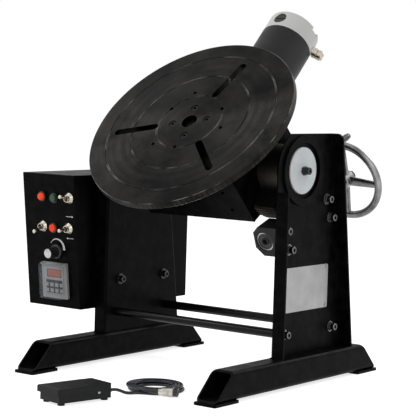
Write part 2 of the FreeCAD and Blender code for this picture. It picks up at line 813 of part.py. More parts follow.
def make_cradle():
    half_w = cradle_half_width
    half_l = cradle_half_length
    outer = box(-half_w, half_w, -half_l, half_l, cradle_low, cradle_top)
    bends = [e for e in outer.Edges
             if e.BoundBox.XLength > 10 and e.BoundBox.ZMin > cradle_top - 1]
    outer = outer.makeFillet(cradle_bend, bends)
    inner = box(-half_w - 1, half_w + 1, cradle_sheet - half_l, half_l - cradle_sheet,
                cradle_low - 1, cradle_top - cradle_sheet)
    plate = outer.cut(inner)
    plate = plate.cut(rod_z(0, cradle_top + 1, gearbox_nose_r))
    plate = plate.cut(rod_y(0, half_l + 1, tunnel_r, motor_x, motor_z))
    roof = cradle_top - cradle_sheet
    for x, y in gearbox_screw_places():
        plate = plate.cut(rod_z(0, roof + small_screw_grip - gearbox_lug, small_screw_r, x, y))
    for side in (-1, 1):
        for z in (cradle_hole_low, cradle_hole_high):
            plate = plate.cut(rod_y(-half_l - 1, 0, cradle_hole_r, side * cradle_hole_x, z))
    save("cradle_plate", [in_cradle(plate)])

    inner_l = half_l - cradle_sheet
    inner_top = cradle_top - cradle_sheet
    knee = inner_l - 40
    outline = [(-inner_l, inner_top), (-inner_l, cradle_low), (-knee, cheek_low),
               (knee, cheek_low), (inner_l, cradle_low), (inner_l, inner_top)]
    cheek = prism_x(outline, half_w - cheek_thickness, half_w)
    cheek = cheek.cut(rod_x(0, half_w + 1, shaft_r))
    for y, z in trunnion_screw_places():
        cheek = cheek.cut(rod_x(0, half_w + 1, small_screw_r, y, z))
    save("cradle_cheeks", [in_cradle(cheek), in_cradle(mirrored(cheek))])

    inside_x = half_w - cheek_thickness
    flange = rod_x(inside_x - trunnion_flange_thickness, inside_x, trunnion_flange_r)
    for y, z in trunnion_screw_places():
        flange = flange.cut(rod_x(0, half_w, small_screw_r, y, z))
    shaft = rod_x(inside_x - trunnion_flange_thickness, shaft_end_x, shaft_r)
    trunnion = flange.fuse(shaft)
    trunnion = trunnion.cut(rod_x(shaft_end_x - 25, shaft_end_x + 1, screw_r))
    save("trunnions", [in_cradle(trunnion), in_cradle(mirrored(trunnion))])

    collar = ring_x(half_w, half_w + collar_width, collar_r, shaft_r)
    save("bronze_collars", [in_cradle(collar), in_cradle(mirrored(collar))])

    disc_x = shaft_end_x
    disc = ring_x(disc_x, disc_x + end_disc_thickness, end_disc_r, screw_r)
    disc = disc.makeChamfer(0.8, [e for e in disc.Edges if e.BoundBox.YLength > end_disc_r
                                  and e.BoundBox.XMin > disc_x + 1])
    save("end_discs", [in_cradle(disc), in_cradle(mirrored(disc))])
    face_x = disc_x + end_disc_thickness
    spacer = spun(hex_prism(14, 0, spacer_length, screw_r), 90, (0, 1, 0))
    screw = socket_screw(spacer_length + end_disc_thickness + 22)
    screw = moved(spun(screw, 90, (0, 1, 0)), face_x + spacer_length)
    stack = [moved(spacer, face_x), screw]
    save("end_disc_screws", [in_cradle(part) for part in stack]
         + [in_cradle(mirrored(part)) for part in stack])


# ---------------------------------------------------------------- faceplate
def slot_cutter(width, z0, z1):
    """One radial slot with rounded ends, along +X."""
    half = width / 2
    inner = slot_inner + slot_width / 2
    outer = slot_outer - slot_width / 2
    body = box(inner, outer, -half, half, z0, z1)
    body = body.fuse(rod_z(z0, z1, half, inner)).fuse(rod_z(z0, z1, half, outer))
    return body.removeSplitter()


def make_faceplate():
    plate = rod_z(plate_under, plate_top, plate_r)
    plate = plate.makeChamfer(1.5, plate.Edges[:1] + plate.Edges[2:3])
    cutters = [rod_z(0, plate_top + 1, plate_bore_r)]
    for radius in groove_radii:
        cutters.append(ring_z(plate_top - groove_depth, plate_top + 1,
                              radius + groove_width / 2, radius - groove_width / 2))
    for i in range(slot_count):
        turn = slot_turn + 360 * i / slot_count
        cutters.append(spun(slot_cutter(slot_width, plate_under - 1, plate_top + 1), turn))
        cutters.append(spun(slot_cutter(slot_wide, plate_under - 1,
                                        plate_under + slot_wide_depth), turn))
        for circle, start in ((tapped_inner_circle, tapped_inner_turn),
                              (tapped_outer_circle, tapped_outer_turn)):
            x, y = polar(circle, start + 360 * i / slot_count)
            cutters.append(rod_z(plate_under - 1, plate_top + 1, tapped_r, x, y))
    screws = []
    seat_z = plate_top - counterbore_depth
    for i in range(hub_screw_count):
        x, y = polar(hub_screw_circle, hub_screw_turn + 360 * i / hub_screw_count)
        cutters.append(rod_z(0, plate_top + 1, screw_r, x, y))
        cutters.append(rod_z(seat_z, plate_top + 1, counterbore_r, x, y))
        screws.append(moved(socket_screw(seat_z - flange_under), x, y, seat_z))
    for cutter in cutters:
        plate = plate.cut(cutter)
    save("faceplate", [in_cradle(plate)])
    save("faceplate_screws", [in_cradle(screw) for screw in screws])

    spindle = rod_z(flange_under, plate_under, spindle_flange_r)
    spindle = spindle.fuse(rod_z(gearbox_low + 4, flange_under, spindle_r))
    spindle = spindle.cut(rod_z(gearbox_low, plate_top, spindle_bore_r))
    for i in range(hub_screw_count):
        x, y = polar(hub_screw_circle, hub_screw_turn + 360 * i / hub_screw_count)
        spindle = spindle.cut(rod_z(0, plate_top, screw_r, x, y))
    save("spindle", [in_cradle(spindle)])


def make_gearbox():
    """Closed worm reducer under the cradle's top plate."""
    roof = cradle_top - cradle_sheet
    nose_top = flange_under - gearbox_nose_gap
    body = rod_z(gearbox_low, roof, gearbox_r)
    body = body.fuse(rod_z(roof, nose_top, gearbox_nose_r))
    body = body.fuse(rod_y(-gearbox_r - 10, motor_foot, tunnel_r, motor_x, motor_z))
    body = body.fuse(box(-gearbox_r, gearbox_r, -gearbox_r, gearbox_r, roof - gearbox_lug,
                         roof))
    body = body.cut(rod_z(gearbox_low - 1, nose_top + 1, spindle_r + 0.8))
    seats = ((nose_top - spindle_bearing_width, nose_top),
             (gearbox_low + 4, gearbox_low + 4 + spindle_bearing_width))
    bearings = []
    for z0, z1 in seats:
        body = body.cut(rod_z(z0, z1, spindle_bearing_r))
        bearings.append(in_cradle(ring_z(z0, z1, spindle_bearing_r,
                                         spindle_r + shaft_clearance)))
    body = body.cut(rod_z(gearbox_low - 1, gearbox_low + 4, spindle_bearing_r - 3))
    head_low = roof - gearbox_lug - small_head_height - 1
    for x, y in gearbox_screw_places():
        body = body.cut(rod_z(head_low, roof - gearbox_lug, small_head_r + 0.5, x, y))
        body = body.cut(rod_z(head_low, roof + 1, small_screw_r, x, y))
    save("gearbox", [in_cradle(body)])
    save("spindle_bearings", bearings)


def make_motor():
    """Round motor whose light end cap carries the brush caps and the cable gland."""
    end = motor_seam + motor_cap_length
    body = rod_y(motor_foot, motor_seam, motor_r, motor_x, motor_z)
    save("motor", [in_cradle(body)])

    cap = rod_y(motor_seam, end, motor_r, motor_x, motor_z)
    cap = cap.makeFillet(motor_cap_edge, [e for e in cap.Edges if e.BoundBox.YMin > end - 0.1])
    cap = cap.fuse(rod_y(end, end + 3, motor_boss_r, motor_x, motor_z))
    for side in (-1, 1):
        cap = cap.cut(box(motor_x + side * (motor_r - notch_depth),
                          motor_x + side * (motor_r + 1), end - notch_length, end + 1,
                          motor_z - notch_half, motor_z + notch_half))
    holders = []
    for side in (-1, 1):
        z0 = motor_z + side * (motor_r - brush_cap_depth)
        z1 = motor_z + side * (motor_r + 5)
        cap = cap.cut(rod_z(z0, z1, brush_cap_r, motor_x, brush_cap_along))
        plug = rod_z(z0, motor_z + side * (motor_r - 1.8), brush_cap_r - 0.1, motor_x,
                     brush_cap_along)
        groove = box(motor_x - brush_cap_r, motor_x + brush_cap_r, brush_cap_along - 1,
                     brush_cap_along + 1, motor_z + side * (motor_r - 3.2), z1)
        holders.append(in_cradle(plug.cut(groove)))
    save("motor_brush_caps", holders)

    out_x, out_z = polar(1, gland_turn)
    seat = motor_r - 3
    start = (motor_x + seat * out_x, gland_along, motor_z + seat * out_z)
    cap = cap.cut(rod(start, (out_x, 0, out_z), gland_r - 2, 10))
    save("motor_end_cap", [in_cradle(cap)])

    bore = 3.5
    profile = [(0, 0), (gland_r - 2, 0), (gland_r - 2, 5), (gland_r, 5), (gland_r, 12),
               (gland_r - 1.5, 13), (gland_r - 0.3, 14), (gland_r - 0.3, gland_length - 4),
               (gland_r - 2.5, gland_length), (bore, gland_length),
               (bore, gland_length - 12), (0, gland_length - 12)]
    gland = spun(turned(profile), 90 - gland_turn, (0, 1, 0))
    save("motor_gland", [in_cradle(moved(gland, *start))])


# ---------------------------------------------------------------- control box
def box_outline(inset=0.0):
    """Side view of the control box, whose front leans out towards its top."""
    lean = math.tan(math.radians(panel_lean))
    shift = inset / math.cos(math.radians(panel_lean))
    low = box_front_low_y + shift - inset * lean
    high = box_front_high_y + shift + inset * lean
    return [(low, box_bottom_z + inset), (high, box_top_z - inset),
            (box_rear_y - inset, box_top_z - inset), (box_rear_y - inset, box_bottom_z + inset)]


def make_control_box():
    outer_x = box_side_x - box_width
    body = prism_x(box_outline(), box_side_x, outer_x)
    folds = [e for e in body.Edges if e.BoundBox.XLength > box_width - 1]
    body = body.makeFillet(2, folds)
    body = body.cut(prism_x(box_outline(box_wall), box_side_x - box_wall, outer_x - 1))
    for place in (lamp_place, reset_place, lock_place):
        body = body.cut(on_panel(rod_z(-5, 2, control_hole_r), *place))
    for place in (power_place, mode_place, direction_place):
        body = body.cut(on_panel(rod_z(-5, 2, toggle_sleeve_r), *place))
    body = body.cut(on_panel(rod_z(-5, 2, 4.5), *knob_place))
    half_w = meter_width / 2 - meter_inset
    half_h = meter_height / 2 - meter_inset
    body = body.cut(on_panel(box(-half_w, half_w, -half_h, half_h, -5, 2), meter_x, meter_z))
    body = body.cut(rod_y(box_rear_y - 5, box_rear_y + 1, 8, socket_x, rear_socket_z))
    body = body.cut(box(inlet_x - 13.5, inlet_x + 13.5, box_rear_y - 5, box_rear_y + 1,
                        rear_socket_z - 10, rear_socket_z + 10))
    for y, z in box_bolt_places():
        body = body.cut(rod_x(box_side_x - 5, box_side_x + 1, screw_r, y, z))
    for y, z in box_bolt_places():
        body = body.fuse(ring_x(-leg_outer_x, box_side_x, 9, screw_r, y, z))
    save("control_box", [body])

    cover = prism_x(box_outline(box_wall + box_cover_gap), outer_x, outer_x + box_wall)
    save("control_box_cover", [cover])

    bolts = []
    for y, z in box_bolt_places():
        reach = leg_sheet + abs(box_side_x) - leg_outer_x + box_wall
        washer = moved(ring_x(0, washer_thickness, washer_r, screw_r), -leg_inner_x, y, z)
        screw = spun(socket_screw(reach + washer_thickness + 8), 90, (0, 1, 0))
        screw = moved(screw, washer_thickness - leg_inner_x, y, z)
        nut = spun(hex_prism(13, 0, 6.5, screw_r), -90, (0, 1, 0))
        bolts += [washer, screw, moved(nut, box_side_x - box_wall, y, z)]
    save("control_box_bolts", bolts)

    socket = ring_y(box_rear_y, box_rear_y + 3, 11, 6, socket_x, rear_socket_z)
    socket = socket.fuse(ring_y(box_rear_y - 12, box_rear_y + 9, 8, 6, socket_x, rear_socket_z))
    socket = socket.fuse(rod_y(box_rear_y - 12, box_rear_y, 6, socket_x, rear_socket_z))
    save("pedal_socket", [socket])

    inlet = box(inlet_x - 16, inlet_x + 16, box_rear_y, box_rear_y + 3,
                rear_socket_z - 12, rear_socket_z + 12)
    inlet = inlet.fuse(box(inlet_x - 13.5, inlet_x + 13.5, box_rear_y - 16, box_rear_y,
                           rear_socket_z - 10, rear_socket_z + 10))
    inlet = inlet.cut(box(inlet_x - 11.5, inlet_x + 11.5, box_rear_y - 13, box_rear_y + 4,
                          rear_socket_z - 7.5, rear_socket_z + 7.5))
    pins = [box(inlet_x + 7 * i - 1, inlet_x + 7 * i + 1, box_rear_y - 13, box_rear_y - 2,
                rear_socket_z - 2, rear_socket_z + 2) for i in (-1, 0, 1)]
    save("mains_inlet", [fuse([inlet] + pins)])


def make_buttons():
    """Pilot lamp, reset and lock buttons, each in a black bush."""
    bushes = []
    cap_r = control_hole_r - 1
    for place in (lamp_place, reset_place, lock_place):
        bush = rod_z(0, 3, control_hole_r + 1.5).fuse(rod_z(-14, 0, control_hole_r))
        bush = bush.cut(rod_z(-11, 4, cap_r + button_clearance))
        bushes.append(on_panel(bush, *place))
    save("button_bushes", bushes)

    dome = [(0, -11), (cap_r, -11), (cap_r, 6), (cap_r - 1.2, 8), (cap_r - 3.5, 9.3),
            (0, 9.8)]
    save("pilot_lamp", [on_panel(turned(dome), *lamp_place)])
    button = [(0, -7), (cap_r, -7), (cap_r, 6.5), (cap_r - 0.8, 7.3), (0, 7.3)]
    save("reset_button", [on_panel(turned(button), *reset_place)])
    save("lock_button", [on_panel(turned(button), *lock_place)])


def make_toggles():
    """Three bat-handle toggle switches."""
    bushes = []
    inner_r = toggle_sleeve_r - 1.0
    sleeve = toggle_sleeve_height
    for place in (power_place, mode_place, direction_place):
        bush = turned([(inner_r, -3), (toggle_sleeve_r, -3), (toggle_sleeve_r, 0),
                       (toggle_base_r, 0), (toggle_base_r, 1.2), (toggle_sleeve_r + 1.2, 5),
                       (toggle_sleeve_r, 5.5), (toggle_sleeve_r, sleeve), (inner_r, sleeve)])
        bush = bush.fuse(box(-9, 9, -12, 12, -24, -3))
        bushes.append(on_panel(bush.cut(rod_z(-inner_r - 0.5, 0, inner_r)), *place))
    save("toggle_bushes", bushes)
    for name, place, lean in (("power_lever", power_place, power_lean),
                              ("mode_lever", mode_place, mode_lean),
                              ("direction_lever", direction_place, direction_lean)):
        top = lever_length
        lever = turned([(0, -0.5), (lever_r + 0.6, 0), (lever_r, 6), (lever_r + 0.9, top - 4),
                        (0, top - 4)])
        lever = lever.fuse(Part.makeSphere(lever_ball_r, Vector(0, 0, top - 2)))
        lever = lever.fuse(Part.makeSphere(inner_r - shaft_clearance))
        save(name, [on_panel(spun(lever, -lean, (1, 0, 0)), *place)])


def make_knob():
    pot = rod_z(-16, -box_wall, 12).fuse(rod_z(-box_wall, 0.8, 4.5)).cut(rod_z(-12, 6, 3.05))
    save("speed_control", [on_panel(pot, *knob_place)])
    body = turned([(0, 5.3), (knob_r, 5.3), (knob_r, 1), (knob_skirt_r, 1),
                   (knob_skirt_r - 0.6, 5), (knob_r + 0.6, 6.5), (knob_r - 0.4, knob_height),
                   (0, knob_height)])
    for i in range(12):
        x, y = polar(knob_r + 1.2, 30 * i)
        body = body.cut(rod_z(8, knob_height + 1, 1.8, x, y))
    body = body.fuse(rod_z(-10, 5.4, 3))
    body = body.fuse(rod_z(knob_height, knob_height + 1.2, knob_r - 1.2))
    pointer = box(-0.8, 0.8, knob_r + 0.6, knob_skirt_r - 1, 4.6, 6)
    save("speed_knob", [on_panel(body.fuse(pointer), *knob_place)])


def make_meter():
    """Digital counter behind a hinged clear cover."""
    half_w = meter_width / 2
    half_h = meter_height / 2
    bezel = box(-half_w, half_w, -half_h, half_h, 0, bezel_height)
    bezel = bezel.makeFillet(2, [e for e in bezel.Edges if e.BoundBox.ZLength > 1])
    case = box(meter_inset - half_w, half_w - meter_inset, meter_inset - half_h,
               half_h - meter_inset, -30, meter_face_height)
    window = box(-18, 18, 6, 22, meter_face_height - 1, meter_face_height + 1)
    body = bezel.fuse(case).cut(window)
    for row in (0, 1):
        for column in range(4):
            x = -18 + 12 * column
            y = -8 - 11 * row
            body = body.fuse(box(x - 4, x + 4, y - 3.5, y + 3.5, meter_face_height - 1,
                                 meter_face_height + 1))
    knuckle_z = bezel_height + 2.2
    pin_y = half_h - 2.5
    ears = [box(s * (half_w - 1), s * (half_w - 4), pin_y - 2, pin_y + 2, bezel_height - 1,
                knuckle_z + 2) for s in (-1, 1)]
    pin = rod_x(1 - half_w, half_w - 1, 1, pin_y, knuckle_z)
    save("meter", [on_panel(fuse([body, pin] + ears), meter_x, meter_z)])

    low = bezel_height + 0.8
    high = bezel_height + cover_height
    wide = half_w - 4.5
    shell = box(-wide, wide, 1 - half_h, half_h - 1, low, high)
    shell = shell.makeFillet(1.5, [e for e in shell.Edges if e.BoundBox.ZMin > high - 0.1])
    shell = shell.cut(box(cover_wall - wide, wide - cover_wall, 1 - half_h + cover_wall,
                          half_h - 6, low - 1, high - cover_wall))
    shell = shell.cut(rod_x(-half_w, half_w, 1.05, pin_y, knuckle_z))
    save("meter_cover", [on_panel(shell, meter_x, meter_z)])


# ---------------------------------------------------------------- foot pedal
def make_pedal():
    """Foot switch: a lid that pivots on a pin near the rear of a low base."""
    half_w = pedal_half_width
    half_l = pedal_half_length
    foot = pedal_foot_height
    block_y = pedal_pin_y + 7
    base = prism_x([(-half_l, foot), (-half_l, base_rim_z), (block_y, base_rim_z),
                    (block_y, pedal_height), (half_l, pedal_height), (half_l, foot)],
                   -half_w, half_w)
    base = base.makeFillet(2, [e for e in base.Edges if e.BoundBox.ZLength > 8
                               and e.BoundBox.XLength < 1])
    inside_w = half_w - 4
    floor_z = foot + pedal_wall
    base = base.cut(box(-inside_w, inside_w, pedal_wall - half_l, block_y, floor_z,
                        pedal_height))
    base = base.cut(box(-inside_w, inside_w, block_y - 1, half_l - pedal_wall, floor_z,
                        pedal_height - pedal_wall))
    pin = rod_x(-half_w - 0.6, half_w + 0.6, pedal_pin_r, pedal_pin_y, pedal_pin_z)
    base = base.cut(pin)
    base = base.cut(rod_y(half_l - 8, half_l + 1, cord_r + 2, cord_exit_x, cord_exit_z))
    for x in (-1, 1):
        for y in (-1, 1):
            base = base.fuse(rod_z(0, foot, 6, x * (half_w - 8), y * (half_l - 9)))
    save("pedal_base", [in_pedal(base.removeSplitter())])
    save("pedal_pin", [in_pedal(pin)])

    inner_w = half_w + lid_gap
    outer_w = inner_w + lid_wall
    front = -half_l - lid_front
    rear = block_y - 0.5
    lid = box(-outer_w, outer_w, front - lid_wall, rear, lid_skirt_z, pedal_height)
    lid = lid.makeFillet(2, [e for e in lid.Edges if e.BoundBox.YMin < rear - 1
                             and (e.BoundBox.ZMin > pedal_height - 0.1
                                  or (e.BoundBox.ZLength > 5 and e.BoundBox.YMax < 0))])
    roof = pedal_height - pedal_wall
    lid = lid.cut(box(-inner_w, inner_w, front, rear + 1, lid_skirt_z - 1, roof))
    bore = rod_x(-half_w, half_w, pedal_pin_r + shaft_clearance, pedal_pin_y, pedal_pin_z)
    for side in (-1, 1):
        near = side * (inside_w - 0.5)
        far = near - side * lid_ear_width
        ear = box(near, far, pedal_pin_y - lid_ear_r, pedal_pin_y + lid_ear_r, pedal_pin_z, roof)
        ear = ear.fuse(rod_x(near, far, lid_ear_r, pedal_pin_y, pedal_pin_z))
        lid = lid.fuse(ear)
    lid = lid.cut(bore)
    for i in range(5):
        y = 12 - half_l + 14 * i
        lid = lid.cut(box(5 - half_w, half_w - 5, y - 0.8, y + 0.8, pedal_height - 0.7,
                          pedal_height + 1))
    save("pedal_treadle", [in_pedal(lid.removeSplitter())])

    gland = turned([(cord_r, -6), (cord_r + 2, -6), (cord_r + 2, 0), (cord_r + 3, 0),
                    (cord_r + 3, 2), (cord_r + 1.2, gland_reach), (cord_r, gland_reach)])
    gland = moved(spun(gland, -90, (1, 0, 0)), cord_exit_x, half_l, cord_exit_z)
    save("pedal_cord_gland", [in_pedal(gland)])


def rounded_route(points, radius):
    """Straight runs between points, joined by tangent arcs."""
    share = 0.45
    edges = []
    start = points[0]
    for before, corner, after in zip(points, points[1:], points[2:]):
        back = before.sub(corner)
        ahead = after.sub(corner)
        half_turn = (math.pi - back.getAngle(ahead)) / 2
        setback = share * min(back.Length, ahead.Length)
        back.normalize()
        ahead.normalize()
        near = corner.add(Vector(back).multiply(setback))
        far = corner.add(Vector(ahead).multiply(setback))
        arc_r = setback / math.tan(half_turn)
        middle = Vector(back).add(ahead)
        middle.normalize()
        to_centre = arc_r / math.cos(half_turn)
        middle_point = corner.add(middle.multiply(to_centre - arc_r))
        edges.append(Part.makeLine(start, near))
        edges.append(Part.Arc(near, middle_point, far).toShape())
        start = far
    edges.append(Part.makeLine(start, points[-1]))
    wire = Part.Wire(edges)
    direction = points[1].sub(points[0])
    circle = Part.Wire(Part.makeCircle(radius, points[0], direction))
    return wire.makePipeShell([circle], True, True)


def plug_place(shape):
    """From the plug's own frame (Z towards its nose) to the floor beside the coil."""
    shape = spun(shape, 90, (0, 1, 0))
    return moved(spun(shape, plug_turn), plug_x, plug_y, plug_r)


def make_cord():
    """Pedal cord to its coil, and the plug on the coil's other end."""
    turn = math.radians(pedal_turn)
    across = Vector(math.cos(turn), math.sin(turn), 0)
    ahead = Vector(-math.sin(turn), math.cos(turn), 0)
    start = Vector(pedal_x, pedal_y, cord_exit_z).add(across.multiply(cord_exit_x))
    leave = start.add(Vector(ahead).multiply(pedal_half_length + gland_reach))
    drop = leave.add(ahead.multiply(gland_reach))
    route = [leave, drop] + [Vector(*point) for point in cord_route]
    save("pedal_cord", [rounded_route(route, cord_r)])

    coil = ring_z(0, coil_height, coil_outer_r, coil_inner_r, coil_x, coil_y)
    coil = coil.makeFillet(2, [e for e in coil.Edges if e.BoundBox.ZLength < 0.1])
    coil = coil.cut(plug_place(rod_z(0, coil_outer_r, plug_r + 0.4)))
    save("cord_coil", [coil])

    boot = turned([(0, -18), (cord_r + 0.6, -18), (cord_r + 2.4, 0), (0, 0)])
    barrel = turned([(0, 0), (plug_r - 2.5, 0), (plug_r - 2.5, 5), (plug_r - 0.8, 6),
                     (plug_r - 0.8, 15), (plug_r, 15.5), (plug_r, 25), (plug_r - 2.2, 25.6),
                     (0, 25.6)])
    nose = ring_z(25.6, 33, plug_r - 1.2, plug_r - 3).fuse(rod_z(25.6, 30, plug_r - 3))
    save("plug_boot", [plug_place(boot)])
    save("plug_barrel", [plug_place(barrel.fuse(nose))])


make_feet()
make_legs()
make_tie_rods()
make_leg_screws()
make_rating_plate()
make_worm_housing()
make_sector()
make_worm()
make_handwheel()
make_cradle()
make_cradle_screws()
make_faceplate()
make_gearbox()
make_motor()
make_control_box()
make_buttons()
make_toggles()
make_knob()
make_meter()
make_pedal()
make_cord()
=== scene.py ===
"""Welding positioner: looks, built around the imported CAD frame."""
import json
import math
import random

import bmesh
import bpy
from mathutils import Matrix, Vector


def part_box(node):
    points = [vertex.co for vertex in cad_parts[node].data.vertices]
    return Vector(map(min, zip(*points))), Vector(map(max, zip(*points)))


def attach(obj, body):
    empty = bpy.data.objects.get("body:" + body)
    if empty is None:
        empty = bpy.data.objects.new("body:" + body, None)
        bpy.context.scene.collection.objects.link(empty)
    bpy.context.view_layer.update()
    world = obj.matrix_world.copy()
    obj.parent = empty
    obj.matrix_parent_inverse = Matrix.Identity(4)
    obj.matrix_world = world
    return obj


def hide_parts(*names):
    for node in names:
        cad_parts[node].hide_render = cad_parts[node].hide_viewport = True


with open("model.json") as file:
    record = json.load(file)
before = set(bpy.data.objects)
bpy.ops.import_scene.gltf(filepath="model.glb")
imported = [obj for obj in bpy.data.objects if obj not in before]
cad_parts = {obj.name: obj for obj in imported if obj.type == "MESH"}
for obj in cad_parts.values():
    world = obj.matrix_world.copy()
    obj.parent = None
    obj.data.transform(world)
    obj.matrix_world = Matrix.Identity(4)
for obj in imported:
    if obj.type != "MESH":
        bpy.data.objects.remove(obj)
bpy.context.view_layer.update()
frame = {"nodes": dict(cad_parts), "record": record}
nodes = frame["nodes"]

# ---------------------------------------------------------------- sizes, in metres
MM = 0.001
PIVOT = Vector((0, 0.028, 0.378))
TILT = math.radians(45)
PLATE_TOP = 0.113
GROOVES = (0.065, 0.116, 0.167)
PLATE_R = 0.2005
PANEL_LOW = Vector((-0.279, -0.090, 0.098))
PANEL_LEAN = math.atan2(27, 252)
DRIVE = math.radians(21.5)
WORM_X = 0.150
WORM_BELOW = 0.100
LEG_FLANGE = 26 * MM
KNOB_TOP = 27.2 * MM
WORM_AXIS = Vector((0, math.cos(DRIVE), math.sin(DRIVE)))
WORM_CENTRE = (Vector((WORM_X, PIVOT.y, PIVOT.z))
               + Vector((0, math.sin(DRIVE), -math.cos(DRIVE))) * WORM_BELOW)
PEDAL_PLACE = Vector((0.022, -0.366, 0.013))     # at the height of its gland
PEDAL_TURN = math.radians(-11.5)
COIL_CENTRE = Vector((0.057, -0.200))
CORD_R = 2.75 * MM
PLUG_FOOT = Vector((0.0967, -0.2406, 0.0085))
PLUG_TURN = math.radians(25)
PLUG_AXIS = Vector((math.cos(PLUG_TURN), math.sin(PLUG_TURN), 0))
# Places on the control panel, as x and z.
ARROWS = ((-0.230, 0.2724, 0), (-0.2316, 0.2314, math.pi))     # and their turn
ARC_PLACE = (-0.2654, 0.2104)
KNOB_PLACE = (-0.265, 0.205)
METER_PLACE = (-0.271, 0.1495)


# ---------------------------------------------------------------- places
def panel_frame(x, z):
    """Frame standing on the control panel: X across, Y up the panel, Z out of it."""
    rise = z - PANEL_LOW.z
    place = Vector((x, PANEL_LOW.y - rise * math.tan(PANEL_LEAN), z))
    return Matrix.Translation(place) @ Matrix.Rotation(math.pi / 2 + PANEL_LEAN, 4, "X")


# ---------------------------------------------------------------- node helpers
class Maker:
    """Builds one material's node tree."""

    def __init__(self, name):
        self.material = bpy.data.materials.new(name)
        self.material.use_nodes = True
        self.tree = self.material.node_tree
        self.shader = self.tree.nodes["Principled BSDF"]
        coords = self.add("ShaderNodeTexCoord")
        self.coords = coords.outputs["Object"]

    def add(self, kind, **settings):
        node = self.tree.nodes.new(kind)
        for key, value in settings.items():
            setattr(node, key, value)
        return node

    def link(self, source, target):
        self.tree.links.new(source, target)

    def noise(self, scale, detail=3.0, stretch=None, roughness=0.5):
        node = self.add("ShaderNodeTexNoise")
        node.inputs["Scale"].default_value = scale
        node.inputs["Detail"].default_value = detail
        node.inputs["Roughness"].default_value = roughness
        source = self.coords
        if stretch:
            mapping = self.add("ShaderNodeMapping")
            mapping.inputs["Scale"].default_value = stretch
            self.link(self.coords, mapping.inputs["Vector"])
            source = mapping.outputs["Vector"]
        self.link(source, node.inputs["Vector"])
        return node.outputs["Fac"]

    def math(self, operation, first, second=None, clamp=False):
        node = self.add("ShaderNodeMath", operation=operation, use_clamp=clamp)
        for index, value in enumerate((first, second)):
            if value is None:
                continue
            if isinstance(value, (int, float)):
                node.inputs[index].default_value = value
            else:
                self.link(value, node.inputs[index])
        return node.outputs[0]

    def ramp(self, source, low, high, out_low, out_high):
        node = self.add("ShaderNodeMapRange")
        for key, value in (("From Min", low), ("From Max", high), ("To Min", out_low),
                           ("To Max", out_high)):
            node.inputs[key].default_value = value
        self.link(source, node.inputs["Value"])
        return node.outputs["Result"]

    def mix(self, factor, first, second):
        node = self.add("ShaderNodeMix", data_type="RGBA")
        self.link(factor, node.inputs["Factor"])
        for key, value in (("A", first), ("B", second)):
            socket = [s for s in node.inputs if s.name == key and s.type == "RGBA"][0]
            if isinstance(value, tuple):
                socket.default_value = (*value, 1.0)
            else:
                self.link(value, socket)
        return [s for s in node.outputs if s.type == "RGBA"][0]

    def bumped(self, height, strength, distance, rounding=0.0006):
        """Bump over rounded edges, into the shader's normal."""
        edge = self.add("ShaderNodeBevel", samples=4)
        edge.inputs["Radius"].default_value = rounding
        bump = self.add("ShaderNodeBump")
        bump.inputs["Strength"].default_value = strength
        bump.inputs["Distance"].default_value = distance
        self.link(height, bump.inputs["Height"])
        self.link(edge.outputs["Normal"], bump.inputs["Normal"])
        self.link(bump.outputs["Normal"], self.shader.inputs["Normal"])

    def radius_about(self, point, axis):
        """Distance from an axis, and the direction around it."""
        offset = self.add("ShaderNodeVectorMath", operation="SUBTRACT")
        offset.inputs[1].default_value = point
        self.link(self.coords, offset.inputs[0])
        around = self.add("ShaderNodeVectorMath", operation="CROSS_PRODUCT")
        around.inputs[1].default_value = axis
        self.link(offset.outputs[0], around.inputs[0])
        length = self.add("ShaderNodeVectorMath", operation="LENGTH")
        self.link(around.outputs[0], length.inputs[0])
        return length.outputs["Value"], around.outputs[0]

    def along(self, axis):
        """Distance along a direction, from the frame's origin."""
        dot = self.add("ShaderNodeVectorMath", operation="DOT_PRODUCT")
        dot.inputs[1].default_value = axis
        self.link(self.coords, dot.inputs[0])
        return dot.outputs["Value"]

    def line_at(self, value, place, width):
        """1 where the value is near a place, falling to 0 a width away."""
        apart = self.math("ABSOLUTE", self.math("SUBTRACT", value, place))
        return self.ramp(apart, width * 0.4, width, 1, 0)

    def set(self, **values):
        for key, value in values.items():
            self.shader.inputs[key.replace("_", " ")].default_value = value


def tinted(color, amount):
    return tuple(min(1.0, max(0.0, c * amount)) for c in color)


def paint(name, color, roughness=0.4, specular=0.3, peel=0.25, wear_and_highlight=0.0):
    """Painted metal: orange peel, faint dust, and lighter edges, partly wear and partly painted
    highlight.
    """
    m = Maker(name)
    cloud = m.noise(9, 4)
    fine = m.noise(900, 2)
    base = m.mix(m.ramp(cloud, 0.3, 0.7, 0, 1), tinted(color, 0.94), tinted(color, 1.06))
    # Lighter convex edges in patches: part edge wear, part painted highlight.
    if wear_and_highlight:
        geometry = m.add("ShaderNodeNewGeometry")
        edge = m.ramp(geometry.outputs["Pointiness"], 0.52, 0.6, 0, wear_and_highlight)
        wear_and_highlight_patch = m.math("MULTIPLY", edge, m.ramp(m.noise(60, 3), 0.4, 0.7, 0, 1))
        base = m.mix(wear_and_highlight_patch, base, (0.05, 0.05, 0.05))
    m.link(base, m.shader.inputs["Base Color"])
    m.link(m.ramp(m.noise(35, 4), 0.3, 0.7, roughness - 0.06, roughness + 0.08),
           m.shader.inputs["Roughness"])
    m.bumped(fine, peel, 0.00008)
    m.set(Specular_IOR_Level=specular)
    return m.material


